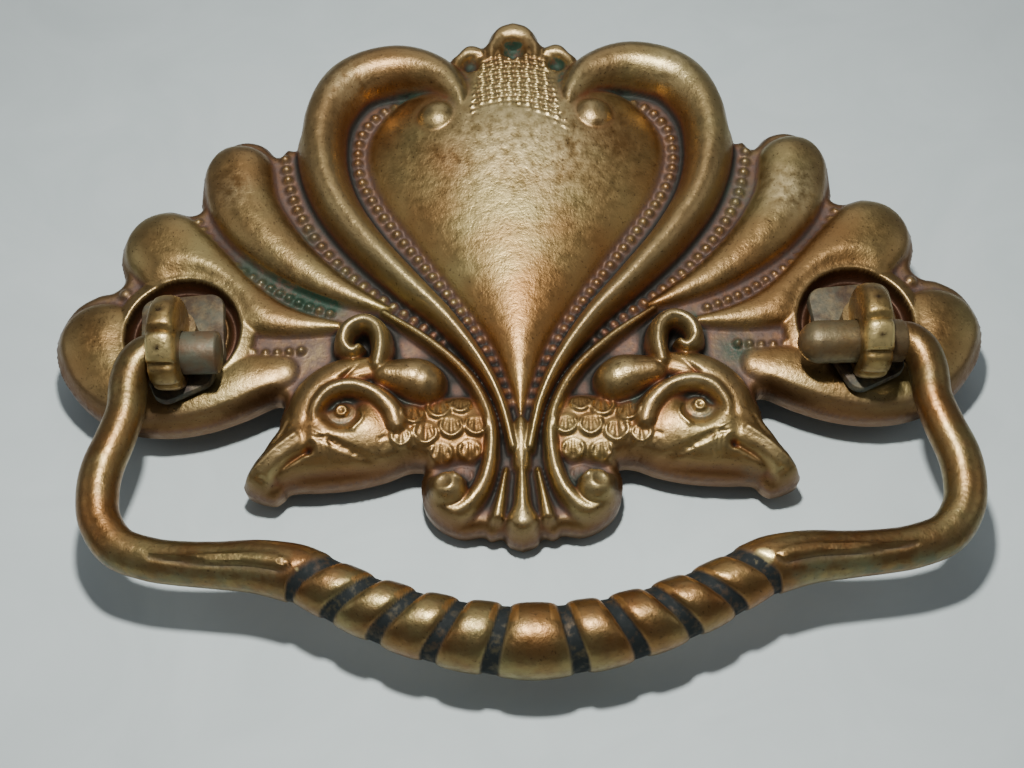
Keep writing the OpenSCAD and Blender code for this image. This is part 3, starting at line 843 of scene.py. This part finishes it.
def eye_ring():
    """Rings of points round the eye: an outer knuckle with an offset bore."""
    turn = np.linspace(0, 2 * math.pi, 144, endpoint=False)
    outer = np.full(turn.shape, RING_R)
    for at in NOTCHES:
        gap = (turn - math.radians(at) + math.pi) % (2 * math.pi) - math.pi
        outer -= 0.5 * np.exp(-(gap * RING_R / 0.42) ** 2)
    profile = [(-1.45, 0), (-RING_HALF, 0.07), (-RING_HALF, 0.45), (-1.55, 0.7),
               (-1.4, 0.84), (-1.1, 0.94), (-0.7, 0.98), (-0.35, 1), (0, 1),
               (0.35, 1), (0.7, 0.98), (1.1, 0.94), (1.4, 0.84), (1.55, 0.7),
               (RING_HALF, 0.45), (RING_HALF, 0.07), (1.45, 0), (0.5, 0), (-0.5, 0)]
    inner = np.stack([EYE_H + BORE_R * np.cos(turn), -EYE_DROP + BORE_R * np.sin(turn)], 1)
    rim = np.stack([RING_N + outer * np.cos(turn), RING_Z + outer * np.sin(turn)], 1)
    rows = []
    for side, part in profile:
        spot = inner + part * (rim - inner)
        rows.append(np.stack([np.full(turn.shape, side), -spot[:, 0], spot[:, 1]], 1))
    pts = np.array(rows).transpose(1, 0, 2)
    angle = np.degrees(turn)[:, None]
    # painted highlight: a bright arc on the ring's front, where the lamp catches it
    ring_highlight = np.clip(1 - np.abs((angle + 180 - 327) % 360 - 180) / 19, 0, 1) ** 0.4
    side, part = np.array(profile).T[:, None]
    pits = sum(np.exp(-((angle + 180 - at) % 360 - 180) ** 2 / 18 - (side / 0.42) ** 2)
               for at in PIT_ANGLES) * (part > 0.9)
    return pts, ring_highlight * (part > 0.55), pits


def rounded_square(side, corner, turn):
    """Loop of (x, z) points about the origin, turned by degrees."""
    rows = []
    for k in range(4):
        for a in np.radians(90 * k + np.linspace(0, 90, 9)):
            cx = (side / 2 - corner) * (1 if k in (0, 3) else -1)
            cz = (side / 2 - corner) * (1 if k in (0, 1) else -1)
            rows.append((cx + corner * math.cos(a), cz + corner * math.sin(a)))
    t = math.radians(turn)
    spin = np.array([[math.cos(t), math.sin(t)], [-math.sin(t), math.cos(t)]])
    return np.array(rows) @ spin


def square_block(size, centre):
    """Plate with rounded corners and softened front edge."""
    side, turn, low, high = size
    rows = []
    for inset, n in ((0, low), (0, high - 0.35), (0.1, high - 0.1), (0.35, high)):
        loop = rounded_square(side - 2 * inset, 1.6, turn) + centre
        rows.append(np.stack([loop[:, 0], np.full(len(loop), -n), loop[:, 1]], 1))
    return np.array(rows)


def upright(profile, z=0.0, sides=40):
    """Rings about the Y axis from (height above the back plane, radius)."""
    rings = spun(profile, sides)
    return np.stack([rings[..., 1], -rings[..., 0], rings[..., 2] + z], -1)


def threaded_end(sides=48):
    """Helical thread on the end of the shank."""
    turn = np.linspace(0, 2 * math.pi, sides, endpoint=False)
    y = np.arange(FRONT_T - 0.4, SHANK_END - 0.05, 0.1)[:, None]
    saw = np.abs(((y / THREAD_PITCH - turn / (2 * math.pi)) % 1) * 2 - 1)
    end = np.clip((SHANK_END - y) / 0.5, 0.6, 1)
    r = (THREAD_R - 0.28 * (1 - saw)) * end
    return np.stack([r * np.cos(turn), y + 0 * turn, r * np.sin(turn)], -1)


def make_post(name, x):
    """Eye, flange, lug, stem, collar and threaded shank in one mesh."""
    whole = Shape()
    place = np.array([x, 0, 0])
    pts, ring_highlight, pits = eye_ring()
    whole.loft(pts + place, closed=True, worn=ring_highlight, pit=pits)
    whole.loft(square_block(FLANGE, (0, 0)) + place, grime=0.9)
    whole.loft(square_block(LUG, (0.2, -EYE_DROP - 0.3)) + place, grime=1.0)
    stem = [(DISH_H, STEM_R), (EYE_H - 1, STEM_R)]
    whole.loft(upright(stem, STEM_Z) + place, grime=0.4)
    whole.loft(upright([(0.6, COLLAR_R), (DISH_H + 0.6, COLLAR_R)]) + place)
    whole.loft(upright([(-FRONT_T, SHANK_R - 0.2), (-FRONT_T + 0.2, SHANK_R),
                        (1, SHANK_R)]) + place)
    whole.loft(threaded_end() + place)
    obj = whole.build(f"{name}_casting", "mounted",
                      ["worn", "grime", "pit"])
    recalc(obj)
    return obj


# ---------------------------------------------------------------- materials


class Nodes:
    """Short-hand for building a node material."""

    def __init__(self, name):
        self.mat = bpy.data.materials.new(name)
        self.mat.use_nodes = True
        self.tree = self.mat.node_tree
        self.bsdf = self.tree.nodes["Principled BSDF"]
        self.coords = self.tree.nodes.new("ShaderNodeTexCoord").outputs["Object"]

    def add(self, kind, **inputs):
        """New node with some of its inputs set or linked."""
        node = self.tree.nodes.new(kind)
        for key, value in inputs.items():
            self.put(node.inputs[key], value)
        return node

    def put(self, socket, value):
        """Link another socket to this one, or set its value."""
        if isinstance(value, bpy.types.NodeSocket):
            self.tree.links.new(value, socket)
        else:
            socket.default_value = value

    def noise(self, scale, detail=3.0, rough=0.55, warp=0.0):
        node = self.add("ShaderNodeTexNoise", Vector=self.coords, Scale=scale,
                        Detail=detail, Roughness=rough, Distortion=warp)
        return node.outputs["Fac"]

    def ramp(self, value, low, high, a=0.0, b=1.0):
        """Map low..high to a..b, clamped."""
        node = self.add("ShaderNodeMapRange", Value=value)
        node.inputs["From Min"].default_value = low
        node.inputs["From Max"].default_value = high
        node.inputs["To Min"].default_value = a
        node.inputs["To Max"].default_value = b
        return node.outputs["Result"]

    def math(self, kind, a, b):
        node = self.tree.nodes.new("ShaderNodeMath")
        node.operation = kind
        self.put(node.inputs[0], a)
        self.put(node.inputs[1], b)
        return node.outputs[0]

    def times(self, a, b):
        return self.math("MULTIPLY", a, b)

    def plus(self, a, b):
        return self.math("ADD", a, b)

    def mix(self, factor, a, b):
        """Blend of two colours, each a tuple or a socket."""
        node = self.tree.nodes.new("ShaderNodeMix")
        node.data_type = "RGBA"
        self.put(node.inputs["Factor"], factor)
        for socket, value in ((node.inputs[6], a), (node.inputs[7], b)):
            self.put(socket, (*value, 1) if isinstance(value, tuple) else value)
        return node.outputs[2]

    def attribute(self, name):
        """One of the marks that store() kept on the mesh."""
        node = self.tree.nodes.new("ShaderNodeAttribute")
        node.attribute_name = name
        return node.outputs["Fac"]

    def bump(self, height, strength, distance, normal=None):
        node = self.add("ShaderNodeBump", Height=height, Strength=strength,
                        Distance=distance)
        if normal is not None:
            self.put(node.inputs["Normal"], normal)
        return node.outputs["Normal"]

    def finish(self, color, rough, metal, normal):
        for key, value in (("Base Color", color), ("Roughness", rough),
                           ("Metallic", metal), ("Normal", normal)):
            self.put(self.bsdf.inputs[key], value)
        return self.mat


# brass tones of the plate, the bail and the posts
OLIVE, UMBER, COPPER = (0.29, 0.225, 0.09), (0.18, 0.1, 0.036), (0.23, 0.105, 0.03)
BAIL_OLIVE, BAIL_UMBER = (0.24, 0.2, 0.085), (0.19, 0.095, 0.034)
BAIL_COPPER, BAIL_CLOUD = (0.25, 0.115, 0.035), (0.12, 0.07, 0.035)
POST_OLIVE, POST_UMBER = (0.36, 0.26, 0.1), (0.2, 0.12, 0.045)
# rubbed metal, and painted highlight: the plate's bright tone partly, the bead-shoulder tone and the post's bright
# tone wholly
PALE, RUBBED_AND_HIGHLIGHT = (0.42, 0.34, 0.17), (0.62, 0.5, 0.26)
BEAD_TOP_HIGHLIGHT, BAIL_BRIGHT = (0.5, 0.26, 0.08), (0.85, 0.68, 0.3)
POST_HIGHLIGHT = (0.78, 0.62, 0.27)
# corrosion and dirt
RUST = (0.17, 0.06, 0.022)
ROSY = (0.115, 0.08, 0.066)
VERDIGRIS = (0.018, 0.045, 0.026)
BAIL_GREEN = (0.07, 0.1, 0.055)
SOOT = (0.02, 0.018, 0.014)
SEAT_DIRT = (0.07, 0.03, 0.014)
RIM_BROWN = (0.13, 0.062, 0.026)
GROOVE_DIRT = (0.006, 0.01, 0.01)
PLATE_PIT, BAIL_PIT, POST_PIT = (0.05, 0.025, 0.015), (0.04, 0.025, 0.015), (0.04, 0.024, 0.014)
PIN_GREY, PIN_BROWN = (0.085, 0.1, 0.074), (0.1, 0.062, 0.035)
POST_BROWN, POST_GREY = (0.028, 0.016, 0.01), (0.06, 0.064, 0.046)
# hidden hardware
STEEL, STEEL_DARK = (0.32, 0.31, 0.28), (0.2, 0.16, 0.12)
NUT_BRASS, NUT_DARK = (0.36, 0.27, 0.11), (0.22, 0.14, 0.06)
HARDWARE_STAIN = (0.09, 0.045, 0.02)
# streaks of the backdrop
BOARD_DARK, BOARD_PALE = (0.54, 0.62, 0.62), (0.6, 0.68, 0.68)


def plate_material():
    """Clouded brass, rubbed on the crowns, dark and green in the hollows."""
    n = Nodes("plate_brass")
    cloud, fine = n.noise(90, 5), n.noise(900, 4, 0.6)
    pits = n.noise(3200, 2, 0.7)
    recess, crown = n.attribute("recess"), n.attribute("crown")
    low, green = n.attribute("low"), n.attribute("green")
    color = n.mix(n.ramp(cloud, 0.35, 0.68), OLIVE, UMBER)
    color = n.mix(n.ramp(n.noise(45, 3), 0.4, 0.62, 0, 0.8), color, COPPER)
    color = n.mix(n.times(crown, 0.45), color, PALE)
    # pale rubbed brass on the spots, with a painted highlight high on the heart
    color = n.mix(n.times(n.attribute("worn"), n.ramp(fine, 0.3, 0.6)), color, RUBBED_AND_HIGHLIGHT)
    red = n.ramp(n.times(recess, n.ramp(fine, 0.3, 0.7, 0.6, 1.2)), 0.05, 0.55)
    color = n.mix(red, color, RUST)
    color = n.mix(n.times(low, n.ramp(fine, 0.35, 0.6, 0.4, 0.9)), color, ROSY)
    color = n.mix(n.ramp(recess, 0.5, 1), color, SOOT)
    color = n.mix(n.times(n.attribute("seat"), 0.75), color, SEAT_DIRT)
    color = n.mix(n.times(n.attribute("edge"), 0.85), color, RIM_BROWN)
    verdigris = n.times(green, n.ramp(n.noise(700, 5, 0.7), 0.34, 0.52, 0, 1))
    verdigris = n.times(verdigris, n.ramp(n.plus(recess, low), 0, 0.3))
    color = n.mix(verdigris, color, VERDIGRIS)
    color = n.mix(n.times(n.ramp(pits, 0.62, 0.7), 0.7), color, PLATE_PIT)
    rough = n.plus(n.ramp(fine, 0.3, 0.7, 0.3, 0.46), n.times(n.plus(recess, low), 0.16))
    dull = n.plus(verdigris, n.times(n.plus(recess, low), 0.4))
    metal = n.ramp(dull, 0, 1, 0.92, 0.25)
    normal = n.bump(fine, 0.35, 0.0002)
    normal = n.bump(pits, 0.3, 0.0001, normal)
    return n.finish(color, rough, metal, normal)


def bail_material():
    """Browner brass with dirt in the grooves and a dull film on the pins."""
    n = Nodes("bail_brass")
    cloud, fine = n.noise(160, 5, 0.6), n.noise(1100, 4, 0.6)
    pits = n.noise(2600, 3, 0.7)
    groove, pin = n.attribute("groove"), n.attribute("pin")
    color = n.mix(n.ramp(cloud, 0.36, 0.66), BAIL_OLIVE, BAIL_UMBER)
    color = n.mix(n.ramp(n.noise(60, 3), 0.44, 0.64, 0, 0.7), color, BAIL_COPPER)
    color = n.mix(n.times(n.ramp(fine, 0.45, 0.7), 0.4), color, BAIL_CLOUD)
    # painted highlight on the beads' upper shoulders
    color = n.mix(n.times(n.attribute("edge"), 0.7), color, BEAD_TOP_HIGHLIGHT)
    film = n.mix(n.ramp(n.noise(420, 4), 0.38, 0.6), PIN_GREY, PIN_BROWN)
    color = n.mix(n.times(pin, 0.85), color, film)
    color = n.mix(n.ramp(n.attribute("worn"), 0.25, 0.6), color, BAIL_BRIGHT)
    green = n.times(n.attribute("green"), n.ramp(n.noise(420, 4), 0.4, 0.6, 0, 0.7))
    color = n.mix(green, color, BAIL_GREEN)
    color = n.mix(n.times(n.ramp(pits, 0.6, 0.7), 0.6), color, BAIL_PIT)
    groove = n.times(groove, n.ramp(fine, 0.3, 0.5, 0.75, 1))
    color = n.mix(groove, color, GROOVE_DIRT)
    rough = n.plus(n.ramp(fine, 0.3, 0.7, 0.28, 0.44), n.times(groove, 0.4))
    rough = n.plus(rough, n.times(pin, 0.2))
    metal = n.ramp(n.plus(groove, n.plus(green, n.times(pin, 0.7))),
                   0, 1, 0.92, 0.3)
    normal = n.bump(fine, 0.3, 0.0002)
    normal = n.bump(pits, 0.25, 0.0001, normal)
    return n.finish(color, rough, metal, normal)


def post_material():
    """Brass with a painted highlight on the ring's front arc and grime on flange and lug."""
    n = Nodes("post_brass")
    cloud, fine = n.noise(260, 5, 0.6), n.noise(1300, 4, 0.6)
    pits = n.noise(2400, 3, 0.7)
    grime = n.attribute("grime")
    color = n.mix(n.ramp(cloud, 0.36, 0.64), POST_OLIVE, POST_UMBER)
    dirt = n.mix(n.ramp(n.noise(380, 3), 0.4, 0.6), POST_BROWN, POST_GREY)
    color = n.mix(n.times(grime, n.ramp(fine, 0.3, 0.6, 0.7, 1)), color, dirt)
    # painted highlight on the ring's front arc
    color = n.mix(n.times(n.attribute("worn"), 0.85), color, POST_HIGHLIGHT)
    dark = n.plus(n.times(n.ramp(pits, 0.58, 0.7), 0.7), n.attribute("pit"))
    color = n.mix(n.ramp(dark, 0, 1), color, POST_PIT)
    rough = n.plus(n.ramp(fine, 0.3, 0.7, 0.3, 0.5), n.times(grime, 0.25))
    metal = n.ramp(grime, 0, 1, 0.92, 0.15)
    normal = n.bump(fine, 0.35, 0.0002)
    normal = n.bump(pits, 0.3, 0.0001, normal)
    return n.finish(color, rough, metal, normal)


def hardware_material(name, base, dark):
    """Dull unseen hardware behind the drawer front."""
    n = Nodes(name)
    cloud, fine = n.noise(300, 5, 0.6), n.noise(1500, 4, 0.6)
    color = n.mix(n.ramp(cloud, 0.38, 0.64), base, dark)
    color = n.mix(n.times(n.ramp(fine, 0.55, 0.7), 0.5), color, HARDWARE_STAIN)
    rough = n.ramp(fine, 0.3, 0.7, 0.38, 0.6)
    return n.finish(color, rough, n.ramp(cloud, 0.4, 0.7, 0.9, 0.6),
                    n.bump(fine, 0.3, 0.0002))


# ---------------------------------------------------------------- stage


def stage_material():
    """Pale streaked board that is seen only from its front."""
    n = Nodes("studio_backdrop")
    streak = n.noise(60, 4, 0.6, 1.2)
    color = n.mix(n.ramp(streak, 0.3, 0.75), BOARD_DARK, BOARD_PALE)
    n.finish(color, 0.6, 0.0, n.bump(streak, 0.1, 0.0005))
    out = n.tree.nodes["Material Output"]
    see_through = n.tree.nodes.new("ShaderNodeBsdfTransparent")
    behind = n.tree.nodes.new("ShaderNodeNewGeometry")
    mixer = n.tree.nodes.new("ShaderNodeMixShader")
    n.put(mixer.inputs[0], behind.outputs["Backfacing"])
    n.put(mixer.inputs[1], n.bsdf.outputs[0])
    n.put(mixer.inputs[2], see_through.outputs[0])
    n.put(out.inputs["Surface"], mixer.outputs[0])
    return n.mat


def make_stage():
    """Pale board behind the plate, a little nearer to it at the foot."""
    lean = math.radians(10.5)
    foot = np.array([0, 0.4, -27.0])
    up = np.array([0, math.sin(lean), math.cos(lean)])
    side = np.array([1.0, 0, 0])
    size = 420
    pts = [foot + side * sx * size + up * sz * size
           for sx, sz in ((-1, -1), (1, -1), (1, 1), (-1, 1))]
    mesh = bpy.data.meshes.new("backdrop")
    mesh.from_pydata([tuple(p * MM) for p in pts], [], [(0, 1, 2, 3)])
    obj = bpy.data.objects.new("backdrop", mesh)
    bpy.context.scene.collection.objects.link(obj)
    obj.data.materials.append(stage_material())


def aim(obj, place, target, roll=0.0):
    """Put an object at a place in millimetres, looking at a target."""
    obj.location = Vector(place) * MM
    look = Vector(target) - Vector(place)
    obj.rotation_mode = "QUATERNION"
    turn = look.to_track_quat("-Z", "Y")
    obj.rotation_quaternion = turn @ Quaternion((0, 0, 1), roll)


# camera in front of the plate and below it, looking up at it
CAM_TARGET = (-0.9, -4.0, -7.2)
CAM_RISE = math.radians(64)
CAM_DISTANCE = 156.3
CAM_ROLL = math.radians(-1.0)
SENSOR_W, LENS = 36, 49.45


def make_camera():
    data = bpy.data.cameras.new("camera")
    data.sensor_width = SENSOR_W
    data.lens = LENS
    data.clip_start, data.clip_end = 0.005, 5
    cam = bpy.data.objects.new("camera", data)
    bpy.context.scene.collection.objects.link(cam)
    place = (CAM_TARGET[0],
             CAM_TARGET[1] - CAM_DISTANCE * math.sin(CAM_RISE),
             CAM_TARGET[2] - CAM_DISTANCE * math.cos(CAM_RISE))
    aim(cam, place, CAM_TARGET, CAM_ROLL)
    bpy.context.scene.camera = cam


def area_light(name, place, size, power, color):
    """Round lamp that looks at the middle of the plate."""
    data = bpy.data.lights.new(name, "AREA")
    data.shape = "DISK"
    data.size = size * MM
    data.energy = power
    data.color = color
    light = bpy.data.objects.new(name, data)
    bpy.context.scene.collection.objects.link(light)
    aim(light, place, (0, 0, 0))


# lights aimed at the plate: (name, place, diameter, watts, colour)
WHITE, WARM, SKY = (1, 1, 1), (1, 0.98, 0.95), (0.84, 0.88, 0.95, 1)
SKY_STRENGTH = 0.16
LIGHTS = [
    ("key", (-6, -156, 14), 14, 0.36, WARM),
    ("top", (0, -150, 240), 200, 0.08, WHITE),
    ("fill_left", (-260, -160, 20), 160, 0.05, WHITE),
    ("fill_right", (260, -160, 20), 160, 0.04, WHITE)]


def make_lights():
    """One small hard key, soft fills and an even pale sky."""
    for name, place, size, power, color in LIGHTS:
        area_light(name, place, size, power, color)
    world = bpy.data.worlds.new("studio")
    world.use_nodes = True
    background = world.node_tree.nodes["Background"]
    background.inputs["Color"].default_value = SKY
    background.inputs["Strength"].default_value = SKY_STRENGTH
    bpy.context.scene.world = world


def dress(obj, material):
    """Give a piece, or a CAD node that stays, its finish."""
    obj.data.materials.clear()
    obj.data.materials.append(material)


plate = make_plate()
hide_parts("backplate")
dress(plate, plate_material())

bail = make_bail()
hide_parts("bail_handle")
dress(bail, bail_material())

post_finish = post_material()
for side, sign in (("left", -1), ("right", 1)):
    post = make_post(f"{side}_post", sign * POST_X)
    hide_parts(f"{side}_eye_post")
    dress(post, post_finish)

washer_finish = hardware_material("washer_steel", STEEL, STEEL_DARK)
nut_finish = hardware_material("nut_brass", NUT_BRASS, NUT_DARK)
for side in ("left", "right"):
    dress(frame["nodes"][f"{side}_washer"], washer_finish)
    dress(frame["nodes"][f"{side}_nut"], nut_finish)

make_stage()
make_camera()
make_lights()
